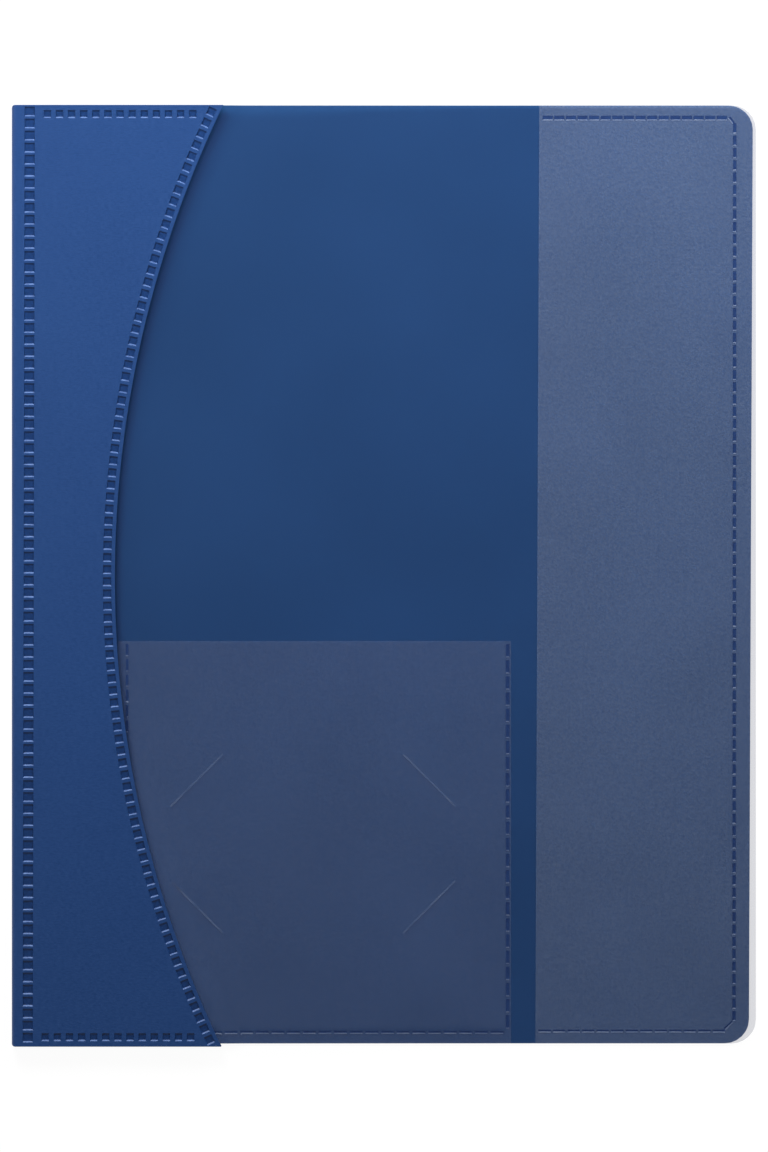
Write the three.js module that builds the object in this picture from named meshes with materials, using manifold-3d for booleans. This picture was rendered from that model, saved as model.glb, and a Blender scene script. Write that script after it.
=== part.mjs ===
// A4 flat file: a blue back cover with two frosted pockets, a clear front cover, and a leatherette band
// folded round the spine that joins them. A two-prong fastener is hidden under the band.
// Millimetres, +Z up. The closed file lies on its back: the spine is at -X and the top of the covers at +Y.
import * as THREE from "three";
import Module from "manifold-3d";
import { mergeVertices } from "three/addons/utils/BufferGeometryUtils.js";

const wasm = await Module();
wasm.setup();

// Covers
const coverHeight = 310;
const backWidth = 244.2;
const frontOverhang = 1.6; // the front cover reaches past the open edge of the back cover by this
const backThickness = 0.5;
const frontThickness = 0.3;
const outerCornerRadius = 8;
const openEdgeLean = 0.65; // the back cover's open edge stands out by this at the top and back by it below
const coverInset = 1.6; // from the outside of the spine to the spine edge of both covers

// Leatherette band round the spine
const bandThickness = 0.9;
const bandWaist = 34.1; // width of the band at mid height
const bandTip = 69.6; // width of the band at its top and bottom
const bandOverhang = 0.9; // the band hangs out below the covers by this
const foldInnerRadius = 0.6;

// Weld channels pressed into the band, each a frame of four runs
const channelDepth = 0.35;
const channelWall = 0.3;
const spineMargin = 3.6;
const spineChannel = 3.4;
const endMargin = 1.3;
const endChannel = 3;
const curveMargin = 1.2;
const curveChannel = 3.2;

// The back cover steps down from the band to the table, and the front cover sags down to the pockets
const dropStart = 0.5;
const dropLength = 8;
const sagLength = 90;

// Pockets
const filmThickness = 0.2;
const pocketRoom = 0.3; // room for paper between a pocket film and the back cover
const sidePocketWidth = 70.6;
const sideSeam = 5;
const cardPocketHeight = 133;
const cardPocketLeft = 35;
const pocketSpacing = 8.7; // bare strip of back cover between the two pockets
const cardSeamSide = 3.2;
const cardSeamMouthSide = 1.6;
const cardSeamBottom = 3.8;
const seamSlope = 1.2; // length over which a film rises from its seam

// Slits that hold the corners of a card
const cardWidth = 90;
const cardHeight = 55;
const cardShift = -0.5; // from the middle of the card pocket's width
const cardCentreUp = 66; // above the bottom of the covers
const cornerTuck = 9.3; // how far a card's corner reaches through its slit
const slitLength = 25;
const slitWidth = 0.4;

// Paper fastener
const fastenerX = 16;
const prongSpacing = 80;
const prongWidth = 6;
const prongThickness = 0.35;
const prongFold = 36; // length of prong folded down over the bar
const patchThickness = 0.25;
const patchLength = 126;
const patchSideRoom = 1.8;
const patchSlope = 0.6;
const patchRim = 2.6;
const barWidth = 8;
const barLength = 104;
const barThickness = 0.5;
const barCornerRadius = 2;
const slotClearance = 0.4;
const leafClearance = 0.3; // between the fastener and the front cover, and between cover and pockets

// How fine the curves are
const archSteps = 26;
const cornerSteps = 6;
const foldSteps = 2; // in each eighth of a turn
const dropSteps = 4;
const sagSteps = 6;

// Levels above the table, from the back of the closed file to its front
const backTop = bandThickness + backThickness;
const patchTop = backTop + prongThickness + patchThickness;
const barTop = patchTop + barThickness;
const prongTop = barTop + prongThickness;
const frontUnder = prongTop + leafClearance;
const frontTop = frontUnder + frontThickness;
const fileThickness = frontTop + bandThickness;
const pocketTop = backThickness + pocketRoom + filmThickness;
const foldRadius = foldInnerRadius + bandThickness;

// Outline values, measured from the outside of the spine and from the middle of the covers
const frontWidth = backWidth + frontOverhang;
const sidePocketMouth = backWidth - sidePocketWidth;
const cardPocketRight = sidePocketMouth - pocketSpacing;
const cardCentreX = (cardPocketLeft + cardPocketRight) / 2 + cardShift;
const coverTop = coverHeight / 2;
const coverBottom = -coverHeight / 2;
const bandBottom = coverBottom - bandOverhang;
const bandMiddle = (coverTop + bandBottom) / 2;
const halfBand = (coverTop - bandBottom) / 2;
const bandRise = bandTip - bandWaist;
const archRadius = (halfBand ** 2 + bandRise ** 2) / (2 * bandRise);

const leatherette = new THREE.MeshStandardMaterial({ color: 0x2c5290, roughness: 0.55, metalness: 0 });
const bluePvc = new THREE.MeshStandardMaterial({ color: 0x26487c, roughness: 0.45, metalness: 0 });
const clearPvc = new THREE.MeshStandardMaterial({
  color: 0xe4e9f0,
  roughness: 0.15,
  metalness: 0,
  transparent: true,
  opacity: 0.2,
});
const frostedPvc = new THREE.MeshStandardMaterial({
  color: 0x93a3bb,
  roughness: 0.5,
  metalness: 0,
  transparent: true,
  opacity: 0.6,
});
const tinnedSteel = new THREE.MeshStandardMaterial({ color: 0xb9bcc0, roughness: 0.35, metalness: 1 });

// Distance of the band's curved edge from the outside of the spine
function bandEdge(y) {
  return bandWaist + archRadius - Math.sqrt(archRadius ** 2 - (y - bandMiddle) ** 2);
}

function smooth(share) {
  const t = Math.min(Math.max(share, 0), 1);
  return t * t * (3 - 2 * t);
}

// How far a rounded corner draws the side edge in at height y
function cornerInset(y) {
  const past = Math.abs(y) - (coverTop - outerCornerRadius);
  return past <= 0 ? 0 : outerCornerRadius - Math.sqrt(Math.max(outerCornerRadius ** 2 - past ** 2, 0));
}

// Numbers in rising order, with those that lie closer than `apart` to the one before left out
function rising(numbers, apart = 0.05) {
  const sorted = [...numbers].sort((a, b) => a - b);
  return sorted.filter((n, i) => i === 0 || n - sorted[i - 1] > apart);
}

// How far the open edge of the back cover, and the side pocket with it, leans out at height y
function edgeLean(y) {
  return (openEdgeLean * y) / coverTop;
}

function archHeights() {
  const heights = [];
  for (let i = 0; i <= archSteps; i++) heights.push(bandBottom + (2 * halfBand * i) / archSteps);
  return heights;
}

function cornerHeights() {
  const heights = [];
  for (let i = 0; i <= cornerSteps; i++) {
    const out = outerCornerRadius * (1 - Math.sin((i / cornerSteps) * (Math.PI / 2)));
    heights.push(coverBottom + out, coverTop - out);
  }
  return heights;
}

const cardPocketTop = coverBottom + cardPocketHeight;
const cardPocketHeights = [
  coverBottom + cardSeamBottom,
  coverBottom + cardSeamBottom + seamSlope,
  cardPocketTop,
];
const sidePocketHeights = [
  coverBottom + sideSeam,
  coverBottom + sideSeam + seamSlope,
  coverTop - sideSeam - seamSlope,
  coverTop - sideSeam,
];

// Rows that the back cover and the card pocket share, so that their curved faces meet exactly
const coverHeights = rising([...archHeights(), ...cornerHeights(), ...cardPocketHeights]).filter(
  (y) => Math.abs(y) <= coverTop,
);

// A closed sheet from rows of stations: each station has a point on its underside and one on its top
function sheetGeometry(rows) {
  const columns = rows[0].length;
  const positions = [];
  for (const row of rows) for (const { under, over } of row) positions.push(...under, ...over);
  const under = (r, c) => 2 * (r * columns + c);
  const over = (r, c) => under(r, c) + 1;
  const triangles = [];
  const quad = (a, b, c, d) => triangles.push(a, b, c, a, c, d);
  const lastRow = rows.length - 1;
  const lastColumn = columns - 1;
  for (let r = 0; r < lastRow; r++) {
    for (let c = 0; c < lastColumn; c++) {
      quad(over(r, c), over(r, c + 1), over(r + 1, c + 1), over(r + 1, c));
      quad(under(r, c), under(r + 1, c), under(r + 1, c + 1), under(r, c + 1));
    }
    quad(under(r, 0), over(r, 0), over(r + 1, 0), under(r + 1, 0));
    quad(under(r, lastColumn), under(r + 1, lastColumn), over(r + 1, lastColumn), over(r, lastColumn));
  }
  for (let c = 0; c < lastColumn; c++) {
    quad(under(0, c), under(0, c + 1), over(0, c + 1), over(0, c));
    quad(under(lastRow, c), over(lastRow, c), over(lastRow, c + 1), under(lastRow, c + 1));
  }
  const geometry = new THREE.BufferGeometry();
  geometry.setAttribute("position", new THREE.Float32BufferAttribute(positions, 3));
  geometry.setIndex(triangles);
  return geometry;
}

// A station that stands upright at x, y between two levels
function station(x, y, low, high) {
  return { under: [x, y, low], over: [x, y, high] };
}

function named(name, geometry, material) {
  const mesh = new THREE.Mesh(geometry, material);
  mesh.name = name;
  return mesh;
}

function toSolid(geometry) {
  const bare = geometry.clone();
  bare.deleteAttribute("normal");
  bare.deleteAttribute("uv");
  const merged = mergeVertices(bare, 1e-4);
  return new wasm.Manifold(
    new wasm.Mesh({
      numProp: 3,
      vertProperties: new Float32Array(merged.attributes.position.array),
      triVerts: new Uint32Array(merged.index.array),
    }),
  );
}

function toGeometry(solid) {
  const mesh = solid.getMesh();
  const geometry = new THREE.BufferGeometry();
  geometry.setAttribute("position", new THREE.Float32BufferAttribute(mesh.vertProperties, 3));
  geometry.setIndex(Array.from(mesh.triVerts));
  return geometry;
}

function boxAt(width, depth, height, x, y, z, turn = 0) {
  const box = new THREE.BoxGeometry(width, depth, height);
  box.rotateZ(turn);
  box.translate(x, y, z);
  return box;
}

// Underside of the back cover: on the band, then down to the table beyond the band's edge
function backUnder(x, y) {
  return bandThickness * (1 - smooth((x - bandEdge(y) - dropStart) / dropLength));
}

function dropColumns(y) {
  const columns = [];
  for (let i = 0; i <= dropSteps; i++) columns.push(bandEdge(y) + dropStart + (dropLength * i) / dropSteps);
  return columns;
}

function backCover() {
  const rows = coverHeights.map((y) =>
    [coverInset, ...dropColumns(y), backWidth + edgeLean(y) - cornerInset(y)].map((x) =>
      station(x, y, backUnder(x, y), backUnder(x, y) + backThickness),
    ),
  );
  return named("back_cover", sheetGeometry(rows), bluePvc);
}

// The front cover keeps its level under the band and sags to just above the pockets
function frontCover() {
  const restUnder = pocketTop + leafClearance;
  const rows = coverHeights.map((y) => {
    const columns = [coverInset];
    for (let i = 0; i <= sagSteps; i++) columns.push(bandEdge(y) + dropStart + (sagLength * i) / sagSteps);
    columns.push(frontWidth - cornerInset(y));
    return columns.map((x) => {
      const sag = smooth((x - bandEdge(y) - dropStart) / sagLength);
      const low = frontUnder + (restUnder - frontUnder) * sag;
      return station(x, y, low, low + frontThickness);
    });
  });
  return named("front_cover", sheetGeometry(rows), clearPvc);
}

// Film of a pocket: it lies on the back cover at its seams and stands off by the paper room elsewhere
function filmStation(x, y, raised) {
  const low = backUnder(x, y) + backThickness + (raised ? pocketRoom : 0);
  return station(x, y, low, low + filmThickness);
}

function sidePocket() {
  const heights = rising([...cornerHeights(), ...sidePocketHeights]);
  const rows = heights.map((y) => {
    const open = Math.abs(y) < coverTop - sideSeam - seamSlope + 0.01;
    const edge = backWidth + edgeLean(y) - cornerInset(y);
    return [
      filmStation(sidePocketMouth + edgeLean(y), y, open),
      filmStation(edge - sideSeam - seamSlope, y, open),
      filmStation(edge - sideSeam, y, false),
      filmStation(edge, y, false),
    ];
  });
  return named("side_pocket", sheetGeometry(rows), frostedPvc);
}

// The corners of a card go through four slits, each square to the card's corner
function cardSlits() {
  const across = cardWidth / 2 - cornerTuck / Math.SQRT2;
  const up = cardHeight / 2 - cornerTuck / Math.SQRT2;
  const slits = [];
  for (const sideX of [-1, 1]) {
    for (const sideY of [-1, 1]) {
      const turn = (-sideX * sideY * Math.PI) / 4;
      const x = cardCentreX + sideX * across;
      const y = coverBottom + cardCentreUp + sideY * up;
      slits.push(toSolid(boxAt(slitLength, slitWidth, 4 * pocketTop, x, y, pocketTop, turn)));
    }
  }
  return slits;
}

function cardPocket() {
  const heights = coverHeights.filter((y) => y < cardPocketTop + 0.01);
  const rows = heights.map((y) => {
    const open = y > coverBottom + cardSeamBottom + seamSlope - 0.01;
    const columns = [
      ...dropColumns(y),
      cardPocketLeft,
      cardPocketLeft + cardSeamSide,
      cardPocketLeft + cardSeamSide + seamSlope,
      cardPocketRight - cardSeamMouthSide - seamSlope,
      cardPocketRight - cardSeamMouthSide,
      cardPocketRight,
    ];
    columns.sort((a, b) => a - b);
    return columns.map((x) => {
      const level = x <= bandEdge(y) + dropStart || x >= bandEdge(y) + dropStart + dropLength;
      const between = x > cardPocketLeft + cardSeamSide && x < cardPocketRight - cardSeamMouthSide;
      return filmStation(x, y, (open && between) || !level);
    });
  });
  let film = toSolid(sheetGeometry(rows));
  for (const slit of cardSlits()) film = film.subtract(slit);
  return named("card_pocket", toGeometry(film), frostedPvc);
}

// Share of the full depth, 0 to 1, that a weld channel has at a distance from the edge it follows
function channelShare(distance, margin, channel) {
  return Math.min(rampIn(distance - margin), rampIn(margin + channel - distance));
}

function rampIn(distance) {
  return Math.min(Math.max(distance / channelWall, 0), 1);
}

// Depth of the weld channels in the band's outer face
function channelAt(x, y) {
  const fromCurve = bandEdge(y) - x;
  const fromEnd = Math.min(coverTop - y, y - bandBottom);
  const spineRun = channelShare(x, spineMargin, spineChannel);
  const curveRun = Math.min(channelShare(fromCurve, curveMargin, curveChannel), rampIn(fromEnd - endMargin));
  const inside = Math.min(rampIn(x - spineMargin), rampIn(fromCurve - curveMargin));
  const endRun = Math.min(channelShare(fromEnd, endMargin, endChannel), inside);
  return channelDepth * Math.max(spineRun, curveRun, endRun);
}

function channelStops(margin, channel) {
  return [margin, margin + channelWall, margin + channel - channelWall, margin + channel];
}

function bandHeights() {
  const ends = channelStops(endMargin, endChannel);
  return rising([...archHeights(), ...ends.map((d) => bandBottom + d), ...ends.map((d) => coverTop - d)]);
}

// Station on the fold between the back leaf and the spine; quarter 0 is the spine's face and 1 the leaf's
function foldStation(y, quarter) {
  const angle = (quarter * Math.PI) / 2;
  const away = (radius) => [foldRadius - radius * Math.cos(angle), y, foldRadius - radius * Math.sin(angle)];
  return { under: away(foldRadius), over: away(foldInnerRadius) };
}

// The same station on the other leaf, seen from the middle of the file's thickness
function mirrored({ under, over }) {
  const flip = ([x, y, z]) => [x, y, fileThickness - z];
  return { under: flip(over), over: flip(under) };
}

function bandLeafRow(y) {
  const row = [];
  for (let i = 0; i <= foldSteps; i++) row.push(foldStation(y, 0.5 + i / (2 * foldSteps)));
  const spineStops = channelStops(spineMargin, spineChannel);
  const curveStops = channelStops(curveMargin, curveChannel).map((d) => bandEdge(y) - d);
  for (const x of [...spineStops, ...curveStops.reverse(), bandEdge(y)]) {
    row.push(station(x, y, channelAt(x, y), bandThickness));
  }
  return row;
}

function bandBack() {
  return named("band_back", sheetGeometry(bandHeights().map(bandLeafRow)), leatherette);
}

function bandFront() {
  const rows = bandHeights().map((y) => bandLeafRow(y).map(mirrored));
  return named("band_front", sheetGeometry(rows), leatherette);
}

// The strip between the two folds, from the front fold down to the back fold
function bandSpine() {
  const rows = [bandBottom, coverTop].map((y) => {
    const row = [];
    for (let i = 0; i <= foldSteps; i++) {
      const { under, over } = mirrored(foldStation(y, 0.5 - i / (2 * foldSteps)));
      row.push({ under: over, over: under });
    }
    for (let i = 0; i <= foldSteps; i++) row.push(foldStation(y, i / (2 * foldSteps)));
    return row;
  });
  return named("band_spine", sheetGeometry(rows), leatherette);
}

// Turns a section drawn in Y and Z, pushed out along its own depth, so that the depth lies along X
function sectionAcross(points, width) {
  const shape = new THREE.Shape(points.map(([y, z]) => new THREE.Vector2(y, z)));
  const geometry = new THREE.ExtrudeGeometry(shape, { depth: width, bevelEnabled: false });
  geometry.translate(0, 0, -width / 2);
  geometry.rotateX(Math.PI / 2);
  geometry.rotateZ(Math.PI / 2);
  return geometry;
}

// Turns a section drawn in X and Z, pushed out along its own depth, so that the depth lies along Y
function sectionAlong(points, length) {
  const shape = new THREE.Shape(points.map(([x, z]) => new THREE.Vector2(x, z)));
  const geometry = new THREE.ExtrudeGeometry(shape, { depth: length, bevelEnabled: false });
  geometry.translate(0, 0, -length / 2);
  geometry.rotateX(Math.PI / 2);
  return geometry;
}

// One strip of steel: a base under the patch, two risers and two prongs folded down towards the middle
function prongs() {
  const end = (prongSpacing + prongThickness) / 2;
  const rightHalf = [
    [end, backTop],
    [end, prongTop],
    [end - prongFold, prongTop],
    [end - prongFold, barTop],
    [end - prongThickness, barTop],
    [end - prongThickness, backTop + prongThickness],
  ];
  const leftHalf = rightHalf.map(([y, z]) => [-y, z]).reverse();
  return named("fastener_prongs", sectionAcross([...rightHalf, ...leftHalf], prongWidth), tinnedSteel);
}

// The patch is welded down along both rims, with its middle raised over the base of the prongs
function patch() {
  const slopeEnd = prongWidth / 2 + patchSideRoom;
  const rimStart = slopeEnd + patchSlope;
  const rimEnd = rimStart + patchRim;
  const raised = backTop + prongThickness;
  const underside = [
    [-rimEnd, backTop],
    [-rimStart, backTop],
    [-slopeEnd, raised],
    [slopeEnd, raised],
    [rimStart, backTop],
    [rimEnd, backTop],
  ];
  const topside = underside.map(([x, z]) => [x, z + patchThickness]).reverse();
  let film = toSolid(sectionAlong([...underside, ...topside], patchLength));
  for (const side of [-1, 1]) {
    const slot = boxAt(
      prongWidth + 2 * slotClearance,
      prongThickness + 2 * slotClearance,
      4 * patchThickness,
      0,
      (side * prongSpacing) / 2,
      raised + patchThickness / 2,
    );
    film = film.subtract(toSolid(slot));
  }
  return named("fastener_patch", toGeometry(film), bluePvc);
}

function bar() {
  const right = barWidth / 2;
  const top = barLength / 2;
  const r = barCornerRadius;
  const shape = new THREE.Shape();
  shape.moveTo(-right, -top + r);
  shape.absarc(-right + r, -top + r, r, Math.PI, 1.5 * Math.PI);
  shape.absarc(right - r, -top + r, r, 1.5 * Math.PI, 2 * Math.PI);
  shape.absarc(right - r, top - r, r, 0, 0.5 * Math.PI);
  shape.absarc(-right + r, top - r, r, 0.5 * Math.PI, Math.PI);
  for (const side of [-1, 1]) {
    const slotX = prongWidth / 2 + slotClearance;
    const slotLow = (side * prongSpacing) / 2 - prongThickness / 2 - slotClearance;
    const slotHigh = slotLow + prongThickness + 2 * slotClearance;
    const slot = new THREE.Path();
    slot.moveTo(-slotX, slotLow);
    slot.lineTo(-slotX, slotHigh);
    slot.lineTo(slotX, slotHigh);
    slot.lineTo(slotX, slotLow);
    slot.closePath();
    shape.holes.push(slot);
  }
  const geometry = new THREE.ExtrudeGeometry(shape, {
    depth: barThickness,
    bevelEnabled: false,
    curveSegments: 4,
  });
  const mesh = named("fastener_bar", geometry, tinnedSteel);
  mesh.position.z = patchTop;
  return mesh;
}

const fastener = new THREE.Group();
fastener.add(patch(), prongs(), bar());
fastener.position.x = fastenerX;

const backLeaf = new THREE.Group();
backLeaf.add(bandBack(), backCover(), sidePocket(), cardPocket(), fastener);

const frontLeaf = new THREE.Group();
frontLeaf.add(bandFront(), frontCover());

// The origin is on the table, under the middle of the closed file
const file = new THREE.Group();
file.add(backLeaf, bandSpine(), frontLeaf);
file.position.set(-Math.max(frontWidth, backWidth) / 2, -bandMiddle, 0);

export default file;
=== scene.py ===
import bpy
import math
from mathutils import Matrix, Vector


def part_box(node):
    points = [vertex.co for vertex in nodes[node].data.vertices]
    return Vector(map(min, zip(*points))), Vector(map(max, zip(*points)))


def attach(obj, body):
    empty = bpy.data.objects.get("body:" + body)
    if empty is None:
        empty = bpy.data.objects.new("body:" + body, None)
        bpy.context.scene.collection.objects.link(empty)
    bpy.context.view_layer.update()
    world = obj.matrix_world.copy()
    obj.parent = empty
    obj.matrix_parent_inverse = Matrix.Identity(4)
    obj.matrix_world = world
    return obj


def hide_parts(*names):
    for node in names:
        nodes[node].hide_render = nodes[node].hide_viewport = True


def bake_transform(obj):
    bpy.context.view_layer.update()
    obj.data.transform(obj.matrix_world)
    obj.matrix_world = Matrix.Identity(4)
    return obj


# A closed A4 flat file, seen from straight above. Lengths in the dictionaries are millimetres.
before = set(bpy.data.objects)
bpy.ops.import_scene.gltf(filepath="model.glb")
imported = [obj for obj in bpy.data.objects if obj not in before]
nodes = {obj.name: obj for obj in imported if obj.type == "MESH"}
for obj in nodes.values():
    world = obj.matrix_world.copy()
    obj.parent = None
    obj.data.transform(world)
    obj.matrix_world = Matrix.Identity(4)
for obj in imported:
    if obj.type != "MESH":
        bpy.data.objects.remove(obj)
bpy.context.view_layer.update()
mm = 0.001

# Main places of the file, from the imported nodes
backLow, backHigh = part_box("back_cover")
bandLow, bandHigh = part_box("band_spine")
spineX = bandLow.x / mm
bandTop = bandHigh.y / mm
coverTop = backHigh.y / mm
coverBottom = backLow.y / mm
coverMiddle = (coverTop + coverBottom) / 2
coverHalf = (coverTop - coverBottom) / 2
openEdge = 244.2  # from the outside of the spine to the back cover's open edge, at mid height
coverRight = spineX + openEdge
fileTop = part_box("band_front")[1].z / mm
print("frame loaded, spine at", round(spineX, 2), "mm, file thickness", round(fileTop, 2), "mm")

# Slack of the tests that pick faces, edges and corners: a face looks along an axis when its normal
# passes the first, and a place touches a line within the second
facing = 0.9
touch = 0.01


# Small helpers for selecting and modelling

def useAlone(obj):
    if bpy.context.object and bpy.context.object.mode != "OBJECT":
        bpy.ops.object.mode_set(mode="OBJECT")
    for other in list(bpy.context.selected_objects):
        other.select_set(False)
    obj.hide_set(False)
    obj.select_set(True)
    bpy.context.view_layer.objects.active = obj


def selectParts(obj, faces=None, edges=None, verts=None):
    # picks by a test on the place, then opens edit mode in that select mode
    useAlone(obj)
    mesh = obj.data
    for part in list(mesh.vertices) + list(mesh.edges) + list(mesh.polygons):
        part.select = False
    if faces:
        for face in mesh.polygons:
            face.select = faces(face.center / mm, face.normal)
    if verts:
        for vert in mesh.vertices:
            vert.select = verts(vert.co / mm)
    if edges:
        for edge in mesh.edges:
            a, b = (mesh.vertices[i].co / mm for i in edge.vertices)
            edge.select = edges(a, b)
    bpy.context.tool_settings.mesh_select_mode = (bool(verts), bool(edges), bool(faces))
    bpy.ops.object.mode_set(mode="EDIT")


def closeEdit():
    bpy.ops.object.mode_set(mode="OBJECT")


def upright(a, b):
    # whether an edge stands up, from its two ends
    return abs(a.z - b.z) > 0.5


def applyModifier(obj, kind, **settings):
    useAlone(obj)
    modifier = obj.modifiers.new(kind.title(), kind)
    for key, value in settings.items():
        setattr(modifier, key, value)
    bpy.ops.object.modifier_apply(modifier=modifier.name)


def addCube(name, low, high):
    low, high = Vector(low) * mm, Vector(high) * mm
    bpy.ops.object.select_all(action="DESELECT")
    bpy.ops.mesh.primitive_cube_add(size=1, location=(low + high) / 2)
    obj = bpy.context.object
    obj.name = name
    obj.scale = high - low
    bpy.ops.object.transform_apply(location=True, rotation=True, scale=True)
    return obj


def cleanMesh(obj, sharpAngle=35, tidyFlat=False, merge=0.002):
    selectParts(obj, faces=lambda place, normal: True)
    bpy.ops.mesh.remove_doubles(threshold=merge * mm)
    if tidyFlat:
        bpy.ops.mesh.dissolve_limited(angle_limit=math.radians(0.2))
    bpy.ops.mesh.normals_make_consistent(inside=False)
    closeEdit()
    bpy.ops.object.shade_smooth_by_angle(angle=math.radians(sharpAngle))


def copyOfNode(nodeName, name, tidyFlat=True):
    # a merged copy of a CAD node, to refine
    source = nodes[nodeName]
    obj = source.copy()
    obj.data = source.data.copy()
    obj.name = name
    obj.parent = None
    for key in list(obj.keys()):
        del obj[key]
    bpy.context.scene.collection.objects.link(obj)
    cleanMesh(obj, tidyFlat=tidyFlat)
    return obj


def joinAll(parts):
    useAlone(parts[0])
    for part in parts:
        part.select_set(True)
    if len(parts) > 1:
        bpy.ops.object.join()
    return bpy.context.object


def copiesOf(obj, places, name):
    # one modelled shape copied to many places, each with its own mesh, then joined; a place has x, y and z
    # in mm, a turn in radians and, where the shape stands on a slope, the slope's normal
    made = []
    for x, y, z, turn, *slope in places:
        piece = obj.copy()
        piece.data = obj.data.copy()
        piece.location = Vector((x, y, z)) * mm
        piece.rotation_euler = (0, 0, turn)
        if slope:
            lean = Vector((0, 0, 1)).rotation_difference(slope[0])
            piece.rotation_euler = (lean @ piece.rotation_euler.to_quaternion()).to_euler()
        bpy.context.scene.collection.objects.link(piece)
        made.append(piece)
    joined = joinAll(made)
    joined.name = name
    bpy.ops.object.transform_apply(location=True, rotation=True, scale=True)
    return joined


def taperedDie(name, size, depth, into, walls, materials):
    # welding die that presses a mark of the given size, upwards when into is 1 and downwards when it is -1;
    # walls are how far its walls towards the foot, the head and the sides slant in. Its wide end stands out
    # of the surface, and the foot wall, which catches the light, has the second material, a pale painted
    # highlight.
    lit, dark, side = walls
    out = 0.15
    spread = out / depth
    wideX = size[0] / 2 + side * spread
    low, high = -size[1] / 2 - lit * spread, size[1] / 2 + dark * spread
    near, far = sorted((-out * into, depth * into))
    die = addCube(name, (-wideX, low, near), (wideX, high, far))
    floorX = size[0] / 2 - side
    floorLow, floorHigh = -size[1] / 2 + lit, size[1] / 2 - dark
    selectParts(die, faces=lambda place, normal: normal.z * into > facing)
    bpy.ops.transform.resize(value=(floorX / wideX, (floorHigh - floorLow) / (high - low), 1))
    bpy.ops.transform.translate(value=(0, ((floorLow + floorHigh) - (low + high)) / 2 * mm, 0))
    closeEdit()
    for material in materials:
        die.data.materials.append(material)
    for face in die.data.polygons:
        face.material_index = 1 if face.normal.y < -0.2 and face.center.y < floorLow * mm else 0
    return die


def cutWith(obj, cutter, operation="DIFFERENCE"):
    applyModifier(obj, "BOOLEAN", object=cutter, operation=operation, solver="EXACT",
                  material_mode="TRANSFER")
    bpy.data.objects.remove(cutter)


def setMaterial(obj, material):
    obj.data.materials.clear()
    obj.data.materials.append(material)


# Materials

def srgb(code):
    parts = [int(code[i:i + 2], 16) / 255 for i in (1, 3, 5)]
    return [p / 12.92 if p <= 0.04045 else ((p + 0.055) / 1.055) ** 2.4 for p in parts] + [1.0]


def addNode(tree, kind, settings=None, links=None):
    node = tree.nodes.new(kind)
    for key, value in (settings or {}).items():
        if isinstance(key, int) or key in node.inputs:
            node.inputs[key].default_value = value
        else:
            setattr(node, key, value)
    for key, source in (links or {}).items():
        tree.links.new(source, node.inputs[key])
    return node


def newMaterial(name):
    # a principled shader on its own, and the place on the object that its patterns are drawn from
    material = bpy.data.materials.new(name)
    material.use_nodes = True
    tree = material.node_tree
    tree.nodes.clear()
    shader = addNode(tree, "ShaderNodeBsdfPrincipled")
    addNode(tree, "ShaderNodeOutputMaterial", links={"Surface": shader.outputs["BSDF"]})
    place = addNode(tree, "ShaderNodeTexCoord").outputs["Object"]
    return material, tree, shader, place


def perMm(size):
    # scale of a pattern whose features are this many mm across
    return 1 / (size * mm)


def mixOf(tree, fine, broad, share):
    # two patterns added, the fine one with the given share
    rest = addNode(tree, "ShaderNodeMath", {"operation": "MULTIPLY", 1: 1 - share}, {0: broad})
    mixed = addNode(tree, "ShaderNodeMath", {"operation": "MULTIPLY_ADD", 1: share},
                    {0: fine, 2: rest.outputs["Value"]})
    return mixed.outputs["Value"]


def shadesBetween(tree, fac, stops):
    # a colour ramp with its stops as {position: hex colour}
    ramp = addNode(tree, "ShaderNodeValToRGB", links={"Fac": fac})
    elements = ramp.color_ramp.elements
    while len(elements) < len(stops):
        elements.new(0.5)
    for element, (position, code) in zip(elements, sorted(stops.items())):
        element.position = position
        element.color = srgb(code)
    return ramp.outputs["Color"]


leatherSettings = dict(
    light="#1c4278", middle="#183d73", dark="#14386b",
    grain=0.6, wrinkleLong=1.3, wrinkleShort=0.4, cloud=50,
    roughness=0.46, roughnessSpread=0.08, specular=0.53, grainHeight=0.026,
)


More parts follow.
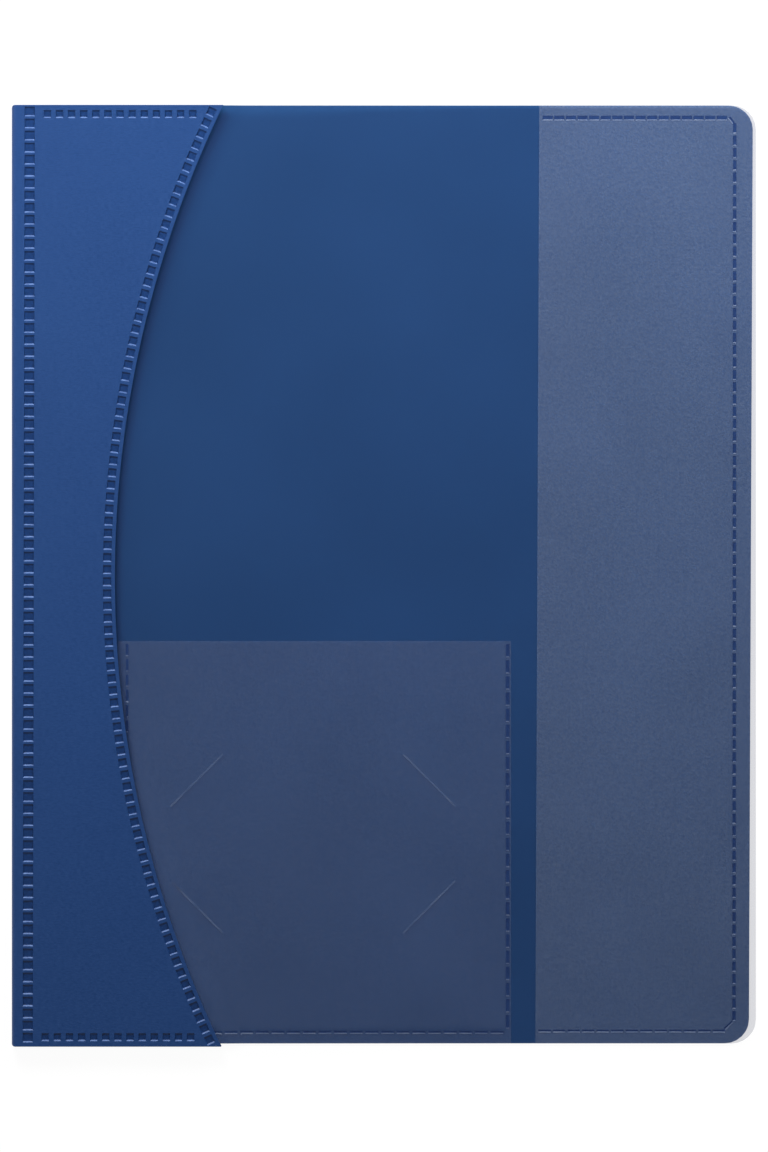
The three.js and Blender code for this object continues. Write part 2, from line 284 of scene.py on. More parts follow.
def leatherette():
    # PVC-coated leatherette, embossed: a fine cross grain with a soft sheen, never glossy
    s = leatherSettings
    material, tree, shader, place = newMaterial("embossedPvcLeatherette")
    stretch = (perMm(s["wrinkleLong"]), perMm(s["wrinkleShort"]), perMm(s["wrinkleShort"]))
    stretched = addNode(tree, "ShaderNodeMapping", {"Scale": stretch}, {"Vector": place})
    wrinkle = addNode(tree, "ShaderNodeTexNoise", {"Scale": 1.0, "Detail": 3.0, "Roughness": 0.6},
                      {"Vector": stretched.outputs["Vector"]})
    pebble = addNode(tree, "ShaderNodeTexVoronoi", {"Scale": perMm(s["grain"]), "Randomness": 0.9},
                     {"Vector": place})
    cloud = addNode(tree, "ShaderNodeTexNoise", {"Scale": perMm(s["cloud"]), "Detail": 2.0},
                    {"Vector": place})
    blend = mixOf(tree, wrinkle.outputs["Fac"], cloud.outputs["Fac"], 0.8)
    colour = shadesBetween(tree, blend, {0.32: s["dark"], 0.5: s["middle"], 0.68: s["light"]})
    tree.links.new(colour, shader.inputs["Base Color"])
    relief = addNode(tree, "ShaderNodeMath", {"operation": "MULTIPLY_ADD", 1: 0.5},
                     {0: pebble.outputs["Distance"], 2: wrinkle.outputs["Fac"]})
    bump = addNode(tree, "ShaderNodeBump", {"Strength": 0.5, "Distance": s["grainHeight"] * mm},
                   {"Height": relief.outputs["Value"]})
    tree.links.new(bump.outputs["Normal"], shader.inputs["Normal"])
    smoothest, roughest = s["roughness"] - s["roughnessSpread"], s["roughness"] + s["roughnessSpread"]
    gloss = addNode(tree, "ShaderNodeMapRange",
                    {"From Min": 0.3, "From Max": 0.7, "To Min": smoothest, "To Max": roughest},
                    {"Value": wrinkle.outputs["Fac"]})
    tree.links.new(gloss.outputs["Result"], shader.inputs["Roughness"])
    shader.inputs["Specular IOR Level"].default_value = s["specular"]
    return material


def pressedShadedLeatherette():
    # the same skin melted smooth and a little glossier by the welding die, and coloured darker than the
    # grain around it as painted shade in the hollow of each mark
    material, tree, shader, place = newMaterial("pressedShadedPvcLeatherette")
    melt = addNode(tree, "ShaderNodeTexNoise", {"Scale": perMm(0.8), "Detail": 2.0}, {"Vector": place})
    colour = shadesBetween(tree, melt.outputs["Fac"], {0.35: "#0f3162", 0.65: "#143970"})
    tree.links.new(colour, shader.inputs["Base Color"])
    shader.inputs["Roughness"].default_value = 0.4
    shader.inputs["Specular IOR Level"].default_value = 0.6
    return material


def litWallHighlightLeatherette():
    # painted highlight: the skin coloured pale and smooth on the wall of each mark towards the foot, which
    # catches the light
    material, tree, shader, place = newMaterial("paintedHighlightPvcLeatherette")
    rubbed = addNode(tree, "ShaderNodeTexNoise", {"Scale": perMm(1.5), "Detail": 2.0}, {"Vector": place})
    colour = shadesBetween(tree, rubbed.outputs["Fac"], {0.35: "#405887", 0.65: "#526c9c"})
    tree.links.new(colour, shader.inputs["Base Color"])
    shader.inputs["Roughness"].default_value = 0.35
    shader.inputs["Specular IOR Level"].default_value = 0.6
    return material


blueSettings = dict(
    light="#1c4a77", middle="#1b4874", dark="#1a4671", cloud=60, speck=0.9, skin=0.006,
    roughness=0.42, specular=0.4,
)


def bluePvc():
    # calendered PVC sheet, coloured through: even, satin, with a faint orange-peel skin
    s = blueSettings
    material, tree, shader, place = newMaterial("calenderedBluePvc")
    cloud = addNode(tree, "ShaderNodeTexNoise", {"Scale": perMm(s["cloud"]), "Detail": 2.0},
                    {"Vector": place})
    speck = addNode(tree, "ShaderNodeTexNoise", {"Scale": perMm(s["speck"]), "Detail": 2.0},
                    {"Vector": place})
    mixed = mixOf(tree, speck.outputs["Fac"], cloud.outputs["Fac"], 0.3)
    colour = shadesBetween(tree, mixed, {0.36: s["dark"], 0.5: s["middle"], 0.64: s["light"]})
    tree.links.new(colour, shader.inputs["Base Color"])
    bump = addNode(tree, "ShaderNodeBump", {"Strength": 0.3, "Distance": s["skin"] * mm},
                   {"Height": speck.outputs["Fac"]})
    tree.links.new(bump.outputs["Normal"], shader.inputs["Normal"])
    shader.inputs["Roughness"].default_value = s["roughness"]
    shader.inputs["Specular IOR Level"].default_value = s["specular"]
    return material


def frostedFilm(name, s):
    # embossed PVC film: a milky, see-through veil with a very fine even grain
    material, tree, shader, place = newMaterial(name)
    # the real grain is finer than the render shows, so it is drawn about two pixels wide
    grain = addNode(tree, "ShaderNodeTexNoise",
                    {"Scale": perMm(s["grain"]), "Detail": 2.5, "Roughness": 0.7}, {"Vector": place})
    cloud = addNode(tree, "ShaderNodeTexNoise", {"Scale": perMm(s["cloud"]), "Detail": 1.0},
                    {"Vector": place})
    mixed = mixOf(tree, grain.outputs["Fac"], cloud.outputs["Fac"], 0.9)
    colour = shadesBetween(tree, mixed, {0.35: s["dark"], 0.5: s["middle"], 0.65: s["light"]})
    tree.links.new(colour, shader.inputs["Base Color"])
    bump = addNode(tree, "ShaderNodeBump", {"Strength": 0.4, "Distance": s["grainHeight"] * mm},
                   {"Height": grain.outputs["Fac"]})
    tree.links.new(bump.outputs["Normal"], shader.inputs["Normal"])
    shader.inputs["Roughness"].default_value = s["roughness"]
    shader.inputs["Specular IOR Level"].default_value = s["specular"]
    shader.inputs["Alpha"].default_value = s["alpha"]
    return material


sideFilmSettings = dict(
    light="#bfd0e8", middle="#a8bad4", dark="#91a3bf", grain=0.8, grainHeight=0.03, cloud=30,
    roughness=0.5, specular=0.4, alpha=0.14,
)
cardFilmSettings = dict(
    light="#b0bcd6", middle="#98a6c4", dark="#8290ae", grain=0.8, grainHeight=0.03, cloud=30,
    roughness=0.5, specular=0.3, alpha=0.1,
)
clearSettings = dict(
    light="#30427a", dark="#2d3e74", wave=60, waveHeight=0.03, roughness=0.15, specular=0.45, alpha=0.17,
)


def clearPvc():
    # clear calendered PVC sheet: see-through with a cool blue tint, glossy at a slant
    s = clearSettings
    material, tree, shader, place = newMaterial("clearPvcSheet")
    wave = addNode(tree, "ShaderNodeTexNoise", {"Scale": perMm(s["wave"]), "Detail": 1.0},
                   {"Vector": place})
    colour = shadesBetween(tree, wave.outputs["Fac"], {0.35: s["dark"], 0.65: s["light"]})
    tree.links.new(colour, shader.inputs["Base Color"])
    bump = addNode(tree, "ShaderNodeBump", {"Strength": 0.25, "Distance": s["waveHeight"] * mm},
                   {"Height": wave.outputs["Fac"]})
    tree.links.new(bump.outputs["Normal"], shader.inputs["Normal"])
    shader.inputs["Roughness"].default_value = s["roughness"]
    shader.inputs["Specular IOR Level"].default_value = s["specular"]
    shader.inputs["Alpha"].default_value = s["alpha"]
    return material


steelSettings = dict(
    light="#c6c8ca", dark="#a9acb0", spots=3, brushLong=14, brushShort=0.25, brushHeight=0.01,
    smoothest=0.28, roughest=0.46,
)


def tinnedSteel():
    # rolled and tinned steel strip: grey, brushed along its length, with small dull spots
    s = steelSettings
    material, tree, shader, place = newMaterial("rolledTinnedSteel")
    stretch = (perMm(s["brushShort"]), perMm(s["brushLong"]), perMm(s["brushShort"]))
    along = addNode(tree, "ShaderNodeMapping", {"Scale": stretch}, {"Vector": place})
    brushed = addNode(tree, "ShaderNodeTexNoise", {"Scale": 1.0, "Detail": 3.0},
                      {"Vector": along.outputs["Vector"]})
    spots = addNode(tree, "ShaderNodeTexNoise", {"Scale": perMm(s["spots"]), "Detail": 2.0},
                    {"Vector": place})
    colour = shadesBetween(tree, spots.outputs["Fac"], {0.35: s["dark"], 0.65: s["light"]})
    tree.links.new(colour, shader.inputs["Base Color"])
    rough = addNode(tree, "ShaderNodeMapRange",
                    {"From Min": 0.3, "From Max": 0.7, "To Min": s["smoothest"], "To Max": s["roughest"]},
                    {"Value": brushed.outputs["Fac"]})
    tree.links.new(rough.outputs["Result"], shader.inputs["Roughness"])
    bump = addNode(tree, "ShaderNodeBump", {"Strength": 0.2, "Distance": s["brushHeight"] * mm},
                   {"Height": brushed.outputs["Fac"]})
    tree.links.new(bump.outputs["Normal"], shader.inputs["Normal"])
    shader.inputs["Metallic"].default_value = 1.0
    return material


def weldedSpot():
    # film melted into the blue sheet by a hot die: the frost is gone, so it shows dark and a little glossy
    material, tree, shader, place = newMaterial("meltedWeldSpot")
    melt = addNode(tree, "ShaderNodeTexNoise", {"Scale": perMm(1.2), "Detail": 2.0}, {"Vector": place})
    colour = shadesBetween(tree, melt.outputs["Fac"], {0.35: "#1b3a6d", 0.65: "#274a80"})
    tree.links.new(colour, shader.inputs["Base Color"])
    shader.inputs["Roughness"].default_value = 0.4
    shader.inputs["Specular IOR Level"].default_value = 0.6
    shader.inputs["Alpha"].default_value = 0.75
    return material


def paleHighlightFilm(name, alpha):
    # frosted film coloured paler and less see-through as a painted highlight, for edges and walls that catch
    # the light
    material, tree, shader, place = newMaterial(name)
    uneven = addNode(tree, "ShaderNodeTexNoise", {"Scale": perMm(4), "Detail": 2.0}, {"Vector": place})
    colour = shadesBetween(tree, uneven.outputs["Fac"], {0.35: "#8fa3c4", 0.65: "#b3c3dd"})
    tree.links.new(colour, shader.inputs["Base Color"])
    shader.inputs["Roughness"].default_value = 0.4
    shader.inputs["Specular IOR Level"].default_value = 0.5
    shader.inputs["Alpha"].default_value = alpha
    return material


leatherMaterial = leatherette()
# the marks' floors are coloured darker as painted shade, and their foot walls paler as painted highlight
pressedShadedMaterial = pressedShadedLeatherette()
litWallHighlightMaterial = litWallHighlightLeatherette()
blueMaterial = bluePvc()
sideFilmMaterial = frostedFilm("frostedPvcFilm", sideFilmSettings)
cardFilmMaterial = frostedFilm("frostedPvcFilmThin", cardFilmSettings)
clearMaterial = clearPvc()
steelMaterial = tinnedSteel()
weldMaterial = weldedSpot()
# painted highlights on the slit lips and on the lit foot walls of the weld dashes
slitLipHighlightMaterial = paleHighlightFilm("slitLipHighlightFilm", 0.3)
dashWallHighlightMaterial = paleHighlightFilm("dashWallHighlightFilm", 0.5)
print("materials made")


# Band of leatherette: one folded sheet, made as two mirrored halves that meet in the middle of the spine

band = dict(
    waist=34.1, archRadius=358.5, archMiddle=-0.7, archSteps=720, tip=70, thickness=0.9,
    foldRadius=1.5, foldSteps=8, cornerRadius=1.1, edgeRound=0.22, shadeAngle=20,
    pressDepth=0.48, litWall=0.45, darkWall=0.6, sideWall=0.2, floorFall=0.16,
    spineRow=5.65, spineLean=0.33, spineBlock=(3.4, 3.3), spineFirst=153.3, spinePitch=3.97, spineCount=78,
    endRow=3.0, footShift=0.2, endBlock=(2.5, 2.7), topFirst=11.8, footFirst=11.1, endPitch=4.0, endCount=13,
    curveRow=2.6, curveBlock=(2.8, 3.0), curveInset=2.3, curveCount=80,
    # how far the blank and its cutters reach past the sheet
    tipSpare=3, cutterHeight=10, blankWidth=150,
)
archX = spineX + band["waist"] + band["archRadius"]


def pressBlock(name, size):
    b = band
    # the second material is a painted highlight on the lit foot wall of each mark
    block = taperedDie(name, size, b["pressDepth"], 1, (b["litWall"], b["darkWall"], b["sideWall"]),
                       (pressedShadedMaterial, litWallHighlightMaterial))
    # the floor of a mark falls towards the foot, so the head end lies in shade
    selectParts(block, verts=lambda place: place.z > 0 and place.y > 0)
    bpy.ops.transform.translate(value=(0, 0, -b["floorFall"] * mm))
    closeEdit()
    return block


def spineRow():
    # the row beside the spine leans a little
    b = band
    places = []
    for i in range(b["spineCount"]):
        y = b["spineFirst"] - i * b["spinePitch"]
        places.append((spineX + b["spineRow"] + b["spineLean"] * y / bandTop, y, 0, 0))
    return places


def endRows():
    b = band
    top, foot = bandTop - b["endRow"], -bandTop + b["endRow"] + b["footShift"]
    places = []
    for i in range(b["endCount"]):
        places.append((spineX + b["topFirst"] + i * b["endPitch"], top, 0, 0))
        places.append((spineX + b["footFirst"] + i * b["endPitch"], foot, 0, 0))
    return places


def curvedRow():
    # along the arch, each block square to it
    b = band
    radius = b["archRadius"] + b["curveRow"]
    reach = bandTop - b["curveInset"]
    first = math.asin((reach - b["archMiddle"]) / radius)
    last = -math.asin((reach + b["archMiddle"]) / radius)
    places = []
    for i in range(b["curveCount"]):
        turn = first + (last - first) * i / (b["curveCount"] - 1)
        y = b["archMiddle"] + radius * math.sin(turn)
        places.append((archX - radius * math.cos(turn), y, 0, -turn))
    return places


def weldMarks():
    # rows of marks along the spine, both ends and the curved edge, all in the outer face of the back half
    rows = (("spineBlocks", band["spineBlock"], spineRow()),
            ("endBlocks", band["endBlock"], endRows()),
            ("curveBlocks", band["curveBlock"], curvedRow()))
    cutters = []
    for name, size, places in rows:
        block = pressBlock(name + "Die", size)
        cutters.append(copiesOf(block, places, name))
        bpy.data.objects.remove(block)
    return joinAll(cutters)


def bandHalf():
    b = band
    half = fileTop / 2
    reach = b["cutterHeight"]
    leaf = addCube("bandBackHalf", (spineX + b["foldRadius"], -bandTop, 0),
                   (spineX + b["tip"] + b["tipSpare"], bandTop, b["thickness"]))
    bpy.ops.mesh.primitive_cylinder_add(vertices=b["archSteps"], radius=b["archRadius"] * mm,
                                        depth=reach * mm, location=(archX * mm, b["archMiddle"] * mm, 0))
    bpy.ops.object.transform_apply(location=True, rotation=True, scale=True)
    cutWith(leaf, bpy.context.object)
    # round the sheet up into the spine, then straight on to the middle of the spine
    selectParts(leaf, faces=lambda place, normal: normal.x < -facing)
    foldCentre = Vector((spineX + b["foldRadius"], 0, b["foldRadius"])) * mm
    bpy.ops.mesh.spin(steps=b["foldSteps"], angle=math.pi / 2, center=foldCentre, axis=(0, -1, 0))
    closeEdit()
    selectParts(leaf, faces=lambda place, normal: normal.z > facing and place.x < spineX + b["thickness"])
    straight = (0, 0, (half - b["foldRadius"]) * mm)
    bpy.ops.mesh.extrude_region_move(TRANSFORM_OT_translate={"value": straight})
    closeEdit()
    # round the two outer corners of the spine in plan
    blank = addCube("blank", (spineX, -bandTop, -reach / 2), (spineX + b["blankWidth"], bandTop, reach))
    selectParts(blank, edges=lambda a, c: max(a.x, c.x) < spineX + touch and upright(a, c))
    bpy.ops.mesh.bevel(offset=b["cornerRadius"] * mm, segments=6)
    closeEdit()
    cutWith(leaf, blank, "INTERSECT")
    cleanMesh(leaf, b["shadeAngle"])
    # ease the cut edges all round
    applyModifier(leaf, "BEVEL", width=b["edgeRound"] * mm, segments=2, limit_method="ANGLE",
                  angle_limit=math.radians(50))
    return leaf


bandBack = bandHalf()
setMaterial(bandBack, leatherMaterial)
cutWith(bandBack, weldMarks())
cleanMesh(bandBack, band["shadeAngle"])
bandFront = bandBack.copy()
bandFront.data = bandBack.data.copy()
bandFront.name = "bandFrontHalf"
bpy.context.scene.collection.objects.link(bandFront)
useAlone(bandFront)
bandFront.scale.z = -1
bandFront.location.z = fileTop * mm
bpy.ops.object.transform_apply(location=True, rotation=True, scale=True)
cleanMesh(bandFront, band["shadeAngle"])
# flat leaves keep their flat shading right up to the rounded fold
for half in (bandBack, bandFront):
    applyModifier(half, "WEIGHTED_NORMAL", keep_sharp=True)
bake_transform(bandBack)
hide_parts("band_back", "band_spine")
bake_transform(bandFront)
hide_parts("band_front")
print("leatherette band made,", len(bandBack.data.polygons), "faces a half")


# Covers: refined copies of the CAD sheets, with eased edges

cover = dict(thickness=0.5, edgeRound=0.08, shadeAngle=30)


def refinedSheet(nodeName, name, material, body, edgeRound):
    obj = copyOfNode(nodeName, name)
    applyModifier(obj, "BEVEL", width=edgeRound * mm, segments=2, limit_method="ANGLE",
                  angle_limit=math.radians(60))
    cleanMesh(obj, cover["shadeAngle"])
    setMaterial(obj, material)
    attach(obj, body)
    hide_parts(nodeName)


refinedSheet("back_cover", "backCoverSheet", blueMaterial, "back_leaf", cover["edgeRound"])
refinedSheet("front_cover", "frontCoverSheet", clearMaterial, "front_leaf",
             cover["edgeRound"])
print("covers made")


# Pockets of frosted film, pressed down at their seams by rows of short weld dashes. Of each row, Dash is
# the size of a dash, Pitch the spacing, and Start and End say where the first and the last one sit.

pocket = dict(
    film=0.2, room=0.3, lift=0.03, cornerRadius=8, seam=5.2, slope=2.4, sideShift=0.55,
    mouth=173.6, mouthSpare=30, lean=0.65, seamLean=0.13, shadeAngle=20, merge=0.0002,
    dashDepth=0.15, litWall=0.36, dashWall=0.12, rayHeight=20,
    topSeam=4.15, topDash=(3.4, 1.6), topPitch=3.75, topStart=173.2, topEnd=4.3,
    sideSeam=5.45, sideDash=(1.1, 3.4), sidePitch=4.06, sideStart=3.4, sideEnd=5,
    footSeam=4.05, footDash=(4.1, 0.95), footPitch=4.9, footStart=176.0, footEnd=5,
    topCorner=(6.6, 4.9), topCornerDash=(2.5, 1.0), topCornerTurn=-52,
    footCorner=(7.2, 6.0), footCornerDash=(3.6, 0.9), footCornerTurn=42,
    cardLeft=38.05, cardLeftDash=(0.9, 4.0), cardLeftPitch=5.05, cardLeftStart=3, cardLeftEnd=28.2,
    cardRight=163.8, cardRightDash=(1.2, 4.4), cardRightPitch=5.38, cardRightStart=3.2, cardRightEnd=3.5,
    cardFoot=3.6, cardFootDash=(4.3, 0.95), cardFootPitch=5.25, cardFootStart=62, cardFootEnd=3.5,
    slitCentre=(99.45, 66.0), slitAcross=38.4, slitUp=20.9, slitLength=24.6,
    lipInner=0.04, lipOuter=0.28, lipProud=0.05, lipRound=0.1,
)
sheetTop = backLow.z / mm + cover["thickness"] + pocket["lift"]  # the films lie a hair above the back cover


def seamRow(size, start, end, pitch):
    # dashes of one size, evenly spaced from start to end with the spacing that fits best, and unturned
    start, end = Vector(start), Vector(end)
    count = max(2, round((end - start).length / pitch) + 1)
    return size, [start.lerp(end, i / (count - 1)) for i in range(count)], 0


def pressDashes(film, rows):
    # every dash sits at the height that the film has there; a row has a size, its places and a turn in
    # degrees, and each is cut on its own because the rows meet at the corners
    p = pocket
    walls = (p["litWall"], p["dashWall"], p["dashWall"])
    for number, (size, places, turn) in enumerate(rows):
        # the foot wall of each dash takes a pale painted highlight
        die = taperedDie("dashDie", size, p["dashDepth"], -1, walls, (weldMaterial, dashWallHighlightMaterial))
        settled = []
        for x, y in places:
            above = Vector((x, y, p["rayHeight"])) * mm
            hit, where, normal = film.ray_cast(above, Vector((0, 0, -1)))[:3]
            if hit:
                settled.append((*(where / mm), math.radians(turn), normal))
        cutWith(film, copiesOf(die, settled, "dashes" + str(number)))
        bpy.data.objects.remove(die)


def sidePocket():
    # a flat sheet with a raised middle, cut off at its mouth and thickened to a film
    p = pocket
    left = spineX + p["mouth"] - p["mouthSpare"]
    film = addCube("sidePocketFilm", (left, coverBottom, sheetTop), (coverRight, coverTop, sheetTop + 1))
    selectParts(film, edges=lambda a, c: min(a.x, c.x) > coverRight - touch and upright(a, c))
    bpy.ops.mesh.bevel(offset=p["cornerRadius"] * mm, segments=10)
    closeEdit()
    selectParts(film, faces=lambda place, normal: normal.z > -facing)
    bpy.ops.mesh.delete(type="FACE")
    closeEdit()
    selectParts(film, faces=lambda place, normal: True)
    bpy.ops.mesh.flip_normals()
    bpy.ops.mesh.inset(thickness=p["seam"] * mm, depth=0)
    bpy.ops.mesh.inset(thickness=p["slope"] * mm, depth=0)
    bpy.ops.transform.translate(value=(0, 0, p["room"] * mm))
    closeEdit()
    # the open edge leans out at the top, and the wider seam beside it leans less
    innerX, innerHalf = coverRight - p["seam"], coverHalf - p["seam"]
    cornersFrom = innerX - p["cornerRadius"] - 1

    def isInner(place):
        return place.x < innerX + touch and abs(place.y - coverMiddle) < innerHalf + touch

    for side in (1, -1):
        for within, shift in ((True, side * p["seamLean"] - p["sideShift"]), (False, side * p["lean"])):
            selectParts(film, verts=lambda place: place.x > cornersFrom and isInner(place) == within
                        and (place.y - coverMiddle) * side > 0)
            bpy.ops.transform.translate(value=(shift * mm, 0, 0))
            closeEdit()
    selectParts(film, faces=lambda place, normal: True)
    slant = Vector((2 * p["lean"], coverTop - coverBottom, 0)).normalized()
    bpy.ops.mesh.bisect(plane_co=Vector((spineX + p["mouth"], 0, 0)) * mm, plane_no=(slant.y, -slant.x, 0),
                        clear_inner=True, threshold=0.001 * mm)
    closeEdit()
    applyModifier(film, "SOLIDIFY", thickness=p["film"] * mm, offset=1)
    cleanMesh(film, p["shadeAngle"])
    return film


def slitLip(x, y, turn):
    p = pocket
    lip = addCube("slitLip", (-p["slitLength"] / 2, p["lipInner"], 0),
                  (p["slitLength"] / 2, p["lipOuter"], p["film"] + p["lipProud"]))
    selectParts(lip, edges=lambda a, c: min(a.z, c.z) > p["film"] and abs(a.y - c.y) < touch)
    bpy.ops.mesh.bevel(offset=p["lipRound"] * mm, segments=2)
    closeEdit()
    lip.rotation_euler.z = turn
    lip.location = Vector((x, y, sheetTop + p["room"])) * mm
    return lip


def slitLips(film):
    # the two edges of each slit lie almost together and a little proud, coloured pale as a painted highlight
    # where they catch the light
    p = pocket
    lips = []
    for sideX in (-1, 1):
        for sideY in (-1, 1):
            x = spineX + p["slitCentre"][0] + sideX * p["slitAcross"]
            y = coverBottom + p["slitCentre"][1] + sideY * p["slitUp"]
            turn = -sideX * sideY * math.pi / 4
            lips.append(slitLip(x, y, turn + math.pi))
            lips.append(slitLip(x, y, turn))
    useAlone(lips[0])
    for lip in lips:
        lip.select_set(True)
    bpy.ops.object.transform_apply(location=True, rotation=True, scale=True)
    joined = joinAll(lips)
    joined.data.materials.append(slitLipHighlightMaterial)
    cutWith(film, joined, "UNION")


def finishFilm(film, material, nodeName, rows):
    setMaterial(film, material)
    if nodeName == "card_pocket":
        slitLips(film)
    pressDashes(film, rows)
    cleanMesh(film, pocket["shadeAngle"], merge=pocket["merge"])
    applyModifier(film, "WEIGHTED_NORMAL", keep_sharp=True)
    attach(film, "back_leaf")
    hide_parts(nodeName)


p = pocket
sideX = coverRight - p["sideSeam"]
topX, footX = sideX + p["seamLean"], sideX - p["seamLean"]
topY, footY = coverTop - p["topSeam"], coverBottom + p["footSeam"]
topCornerPlace = (coverRight + p["seamLean"] - p["topCorner"][0], coverTop - p["topCorner"][1])
footCornerPlace = (coverRight - p["seamLean"] - p["footCorner"][0], coverBottom + p["footCorner"][1])
finishFilm(sidePocket(), sideFilmMaterial, "side_pocket", [
    seamRow(p["topDash"], (spineX + p["topStart"], topY), (topX - p["topEnd"], topY), p["topPitch"]),
    seamRow(p["sideDash"], (topX, topY - p["sideStart"]), (footX, footY + p["sideEnd"]), p["sidePitch"]),
    seamRow(p["footDash"], (spineX + p["footStart"], footY), (footX - p["footEnd"], footY), p["footPitch"]),
    (p["topCornerDash"], [topCornerPlace], p["topCornerTurn"]),
    (p["footCornerDash"], [footCornerPlace], p["footCornerTurn"]),
])

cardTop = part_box("card_pocket")[1].y / mm
cardFootY = coverBottom + p["cardFoot"]
leftX, rightX = spineX + p["cardLeft"], spineX + p["cardRight"]
cardFilm = copyOfNode("card_pocket", "cardPocketFilm", tidyFlat=False)
cardFilm.location.z = p["lift"] * mm
bpy.ops.object.transform_apply(location=True, rotation=True, scale=True)
finishFilm(cardFilm, cardFilmMaterial, "card_pocket", [
    seamRow(p["cardLeftDash"], (leftX, cardTop - p["cardLeftStart"]), (leftX, cardTop - p["cardLeftEnd"]),
            p["cardLeftPitch"]),
    seamRow(p["cardRightDash"], (rightX, cardTop - p["cardRightStart"]),
            (rightX, cardFootY + p["cardRightEnd"]), p["cardRightPitch"]),
    seamRow(p["cardFootDash"], (spineX + p["cardFootStart"], cardFootY),
            (rightX - p["cardFootEnd"], cardFootY), p["cardFootPitch"]),
])
print("pockets made")


# Fastener under the band: eased copies of the CAD strip, patch and bar

fastener = dict(stripEdge=0.07, patchEdge=0.05, barEdge=0.12)
for nodeName, name, material, slotName, edge in (
        ("fastener_patch", "fastenerPatch", blueMaterial, "blue_sheet", fastener["patchEdge"]),
        ("fastener_prongs", "fastenerProngs", steelMaterial, "tinned_steel", fastener["stripEdge"]),
        ("fastener_bar", "fastenerBar", steelMaterial, "tinned_steel", fastener["barEdge"])):
    refinedSheet(nodeName, name, material, "back_leaf", edge)
print("fastener made")


# Floor, light and camera, in metres

studio = dict(
    floor=3.0, world=0.26,
    # place, size, power and the kind of light each gives; the glow is the window as gloss shows it
    lamps={"windowLamp": ((-0.32, 0.60, 0.40), 0.30, 6.9, "diffuse"),
           "sideLamp": ((0.25, 0.42, 0.25), 0.20, 2.2, "diffuse"),
           "windowGlow": ((-0.32, 0.60, 0.40), 0.70, 5.2, "glossy")},
    # the long side of the picture spans this much at the height of the clear cover
    cameraPlace=(0.00002, -0.00007, 2.5), sensor=36, pictureSpan=0.3806, coverHeight=0.002,
)


def floorMaterial():
    # white paper sweep: pure white to the camera, with the object's own soft shadow on it
    material = bpy.data.materials.new("whitePaperSweep")
    material.use_nodes = True
    tree = material.node_tree
    tree.nodes.clear()
    path = addNode(tree, "ShaderNodeLightPath")
    direct = addNode(tree, "ShaderNodeMath", {"operation": "MAXIMUM"},
                     {0: path.outputs["Is Camera Ray"], 1: path.outputs["Is Glossy Ray"]})
    seen = addNode(tree, "ShaderNodeMath", {"operation": "MAXIMUM"},
                   {0: direct.outputs["Value"], 1: path.outputs["Is Transmission Ray"]})
    paper = addNode(tree, "ShaderNodeBsdfDiffuse", {"Color": (0.8, 0.8, 0.8, 1)})
    shadow = addNode(tree, "ShaderNodeBsdfDiffuse", {"Color": (0.08, 0.08, 0.08, 1)})
    glow = addNode(tree, "ShaderNodeEmission", {"Color": (1, 1, 1, 1), "Strength": 0.95})
    bright = addNode(tree, "ShaderNodeAddShader",
                     links={0: shadow.outputs["BSDF"], 1: glow.outputs["Emission"]})
    mixed = addNode(tree, "ShaderNodeMixShader", links={"Fac": seen.outputs["Value"],
                    1: paper.outputs["BSDF"], 2: bright.outputs["Shader"]})
    addNode(tree, "ShaderNodeOutputMaterial", links={"Surface": mixed.outputs["Shader"]})
    return material


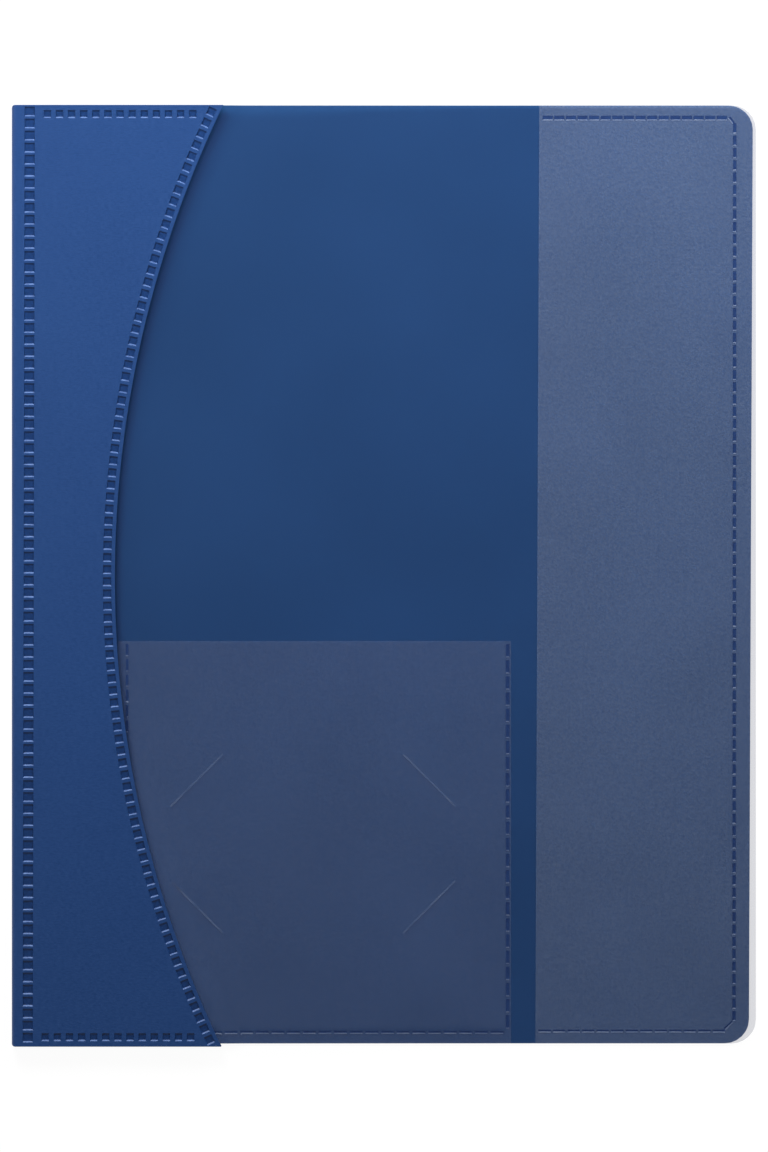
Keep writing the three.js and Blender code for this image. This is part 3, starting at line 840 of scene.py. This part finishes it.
def roomWorld():
    # white to the camera, soft and even as light, and to gloss a room with white walls and a dim ceiling
    world = bpy.data.worlds.new("softStudio")
    world.use_nodes = True
    tree = world.node_tree
    tree.nodes.clear()
    path = addNode(tree, "ShaderNodeLightPath")
    place = addNode(tree, "ShaderNodeTexCoord").outputs["Generated"]
    towards = addNode(tree, "ShaderNodeSeparateXYZ", links={"Vector": place})
    ceiling = addNode(tree, "ShaderNodeMapRange",
                      {"From Min": 0.35, "From Max": 0.85, "To Min": 1.0, "To Max": 0.06},
                      {"Value": towards.outputs["Z"]})
    # the wall with the window, past the head end of the file, is the brightest
    window = addNode(tree, "ShaderNodeMapRange",
                     {"From Min": -0.2, "From Max": 0.6, "To Min": 0.3, "To Max": 1.0},
                     {"Value": towards.outputs["Y"]})
    room = addNode(tree, "ShaderNodeMath", {"operation": "MULTIPLY"},
                   {0: ceiling.outputs["Result"], 1: window.outputs["Result"]})
    mirrored = addNode(tree, "ShaderNodeMath", {"operation": "MAXIMUM"},
                       {0: path.outputs["Is Glossy Ray"], 1: path.outputs["Is Transmission Ray"]})
    inGloss = addNode(tree, "ShaderNodeMath", {"operation": "MULTIPLY"},
                      {0: mirrored.outputs["Value"], 1: room.outputs["Value"]})
    soft = addNode(tree, "ShaderNodeMath", {"operation": "MULTIPLY", 1: studio["world"]},
                   {0: path.outputs["Is Diffuse Ray"]})
    seen = addNode(tree, "ShaderNodeMath", {"operation": "MAXIMUM"},
                   {0: path.outputs["Is Camera Ray"], 1: inGloss.outputs["Value"]})
    strength = addNode(tree, "ShaderNodeMath", {"operation": "MAXIMUM"},
                       {0: seen.outputs["Value"], 1: soft.outputs["Value"]})
    sky = addNode(tree, "ShaderNodeBackground", {"Color": (1, 1, 1, 1)},
                  {"Strength": strength.outputs["Value"]})
    addNode(tree, "ShaderNodeOutputWorld", links={"Surface": sky.outputs["Background"]})
    return world


bpy.ops.mesh.primitive_plane_add(size=studio["floor"], location=(0, 0, 0))
floor = bpy.context.object
floor.name = "floor"
floor.data.materials.append(floorMaterial())
bpy.context.scene.world = roomWorld()

for name, (place, size, power, kind) in studio["lamps"].items():
    lampData = bpy.data.lights.new(name, "AREA")
    lampData.size = size
    lampData.energy = power
    lamp = bpy.data.objects.new(name, lampData)
    bpy.context.scene.collection.objects.link(lamp)
    lamp.location = place
    lamp.rotation_euler = (Vector((0, 0, 0)) - lamp.location).to_track_quat("-Z", "Y").to_euler()
    lamp.visible_diffuse = kind == "diffuse"
    lamp.visible_glossy = kind == "glossy"

cameraData = bpy.data.cameras.new("camera")
cameraData.sensor_width = studio["sensor"]
fileDistance = studio["cameraPlace"][2] - studio["coverHeight"]
cameraData.lens = studio["sensor"] * fileDistance / studio["pictureSpan"]
camera = bpy.data.objects.new("camera", cameraData)
bpy.context.scene.collection.objects.link(camera)
camera.location = studio["cameraPlace"]
bpy.context.scene.camera = camera
bpy.context.scene.view_settings.view_transform = "Standard"
print("studio ready")
